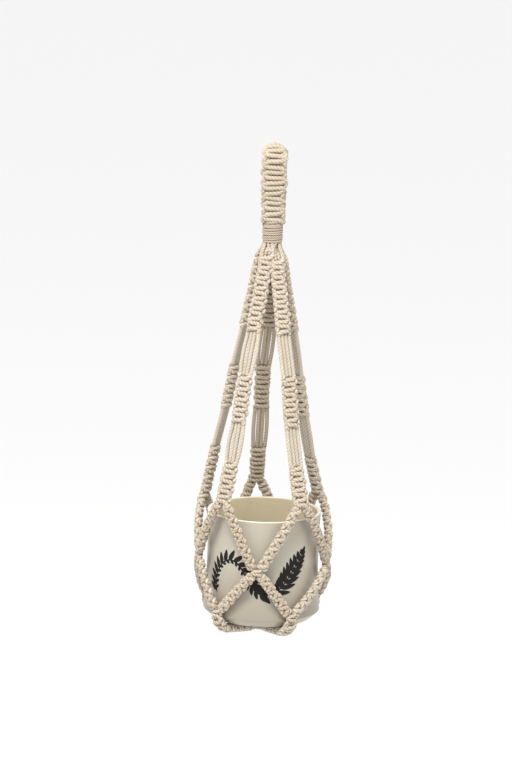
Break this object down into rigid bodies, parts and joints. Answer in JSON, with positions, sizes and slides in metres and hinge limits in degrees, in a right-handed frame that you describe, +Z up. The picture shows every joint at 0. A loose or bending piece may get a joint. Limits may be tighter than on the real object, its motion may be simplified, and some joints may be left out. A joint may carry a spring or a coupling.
{
  "type": "hanging macrame planter",
  "caption": "Knotted cotton cord hanger with a looped top, arms of square-knot sinnets and a crossed net round a round glazed ceramic pot, for hanging a plant from a hook.",
  "frame": {"origin": "centre of the hook rod that the top loop hangs on, on the planter's vertical axis", "axes": "+Z up, from the pot to the hook; +X to the right along the hook rod; -Y is the front, where the pot's motif faces"},
  "size_m": [0.1545, 0.156, 0.5402],
  "materials": {
    "cotton_cord": "three-strand twisted natural cotton, matt, soft fuzz",
    "wrap_cord": "thinner twisted natural cotton wound tight, matt",
    "pot_glaze": "satin warm stone-coloured glaze, with a black printed motif on the front"
  },
  "bodies": {
    "top_loop": {"hanging_loop": "cotton_cord", "gathering_wrap": "wrap_cord"},
    "neck": {"neck_cords": "cotton_cord"},
    "neck_fan": {"neck_fan": "cotton_cord"},
    "hanger": {"upper_sinnet_front_left": "cotton_cord", "upper_cords_front_left": "cotton_cord", "middle_sinnet_front_left": "cotton_cord", "lower_cords_front_left": "cotton_cord", "lower_sinnet_front_left": "cotton_cord", "upper_sinnet_front_right": "cotton_cord", "upper_cords_front_right": "cotton_cord", "middle_sinnet_front_right": "cotton_cord", "lower_cords_front_right": "cotton_cord", "lower_sinnet_front_right": "cotton_cord", "upper_sinnet_back_right": "cotton_cord", "upper_cords_back_right": "cotton_cord", "middle_sinnet_back_right": "cotton_cord", "lower_cords_back_right": "cotton_cord", "lower_sinnet_back_right": "cotton_cord", "upper_sinnet_back": "cotton_cord", "upper_cords_back": "cotton_cord", "middle_sinnet_back": "cotton_cord", "lower_cords_back": "cotton_cord", "lower_sinnet_back": "cotton_cord", "upper_sinnet_back_left": "cotton_cord", "upper_cords_back_left": "cotton_cord", "middle_sinnet_back_left": "cotton_cord", "lower_cords_back_left": "cotton_cord", "lower_sinnet_back_left": "cotton_cord", "upper_net_front_left": "cotton_cord", "lower_net_front_left": "cotton_cord", "base_knot_front_left": "cotton_cord", "base_sinnet_front_left": "cotton_cord", "upper_net_front_right": "cotton_cord", "lower_net_front_right": "cotton_cord", "base_knot_front_right": "cotton_cord", "base_sinnet_front_right": "cotton_cord", "upper_net_back_right": "cotton_cord", "lower_net_back_right": "cotton_cord", "base_knot_back_right": "cotton_cord", "base_sinnet_back_right": "cotton_cord", "upper_net_back": "cotton_cord", "lower_net_back": "cotton_cord", "base_knot_back": "cotton_cord", "base_sinnet_back": "cotton_cord", "upper_net_back_left": "cotton_cord", "lower_net_back_left": "cotton_cord", "base_knot_back_left": "cotton_cord", "base_sinnet_back_left": "cotton_cord", "crossing_knot_front": "cotton_cord", "crossing_knot_right": "cotton_cord", "crossing_knot_back_right": "cotton_cord", "crossing_knot_back_left": "cotton_cord", "crossing_knot_left": "cotton_cord", "base_gather": "cotton_cord"},
    "pot": {"pot": "pot_glaze"}
  },
  "joints": [
    {"name": "neck_bend_front", "type": "hinge", "parent": "top_loop", "child": "neck", "pos_m": [0, 0, -0.0991], "axis": [1, 0, 0], "range_deg": [-25, 25]},
    {"name": "neck_bend_side", "type": "hinge", "parent": "neck", "child": "neck_fan", "pos_m": [0, 0, -0.1094], "axis": [0, 1, 0], "range_deg": [-25, 25]},
    {"name": "basket_twist", "type": "hinge", "parent": "neck_fan", "child": "hanger", "pos_m": [0, 0, -0.113], "axis": [0, 0, 1], "range_deg": [-60, 60], "stiffness_Nm_per_rad": 0.03},
    {"name": "pot_lift", "type": "slide", "parent": "hanger", "child": "pot", "axis": [0, 0, 1], "range_m": [0, 0.028]}
  ]
}
